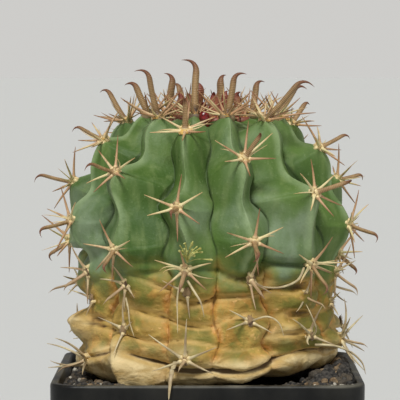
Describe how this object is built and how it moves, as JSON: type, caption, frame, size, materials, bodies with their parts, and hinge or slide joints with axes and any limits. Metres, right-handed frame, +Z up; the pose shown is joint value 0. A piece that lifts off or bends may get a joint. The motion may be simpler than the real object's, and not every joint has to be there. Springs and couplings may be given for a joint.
{
  "type": "potted ferocactus horridus",
  "caption": "Round ribbed barrel cactus with star clusters of spines, hooked central spines and a corky base, rooted in grit in a square plastic nursery pot.",
  "frame": {"origin": "centre of the pot's flat underside", "axes": "+Z up along the plant's axis, front towards -Y, +X to the right of someone facing the front"},
  "size_m": [0.1367, 0.1359, 0.2348],
  "materials": {
    "pot": "satin",
    "soil": "matte",
    "stem": "satin"
  },
  "bodies": {
    "root": {"pot": "pot", "soil": "soil", "stem": "stem"}
  },
  "joints": []
}
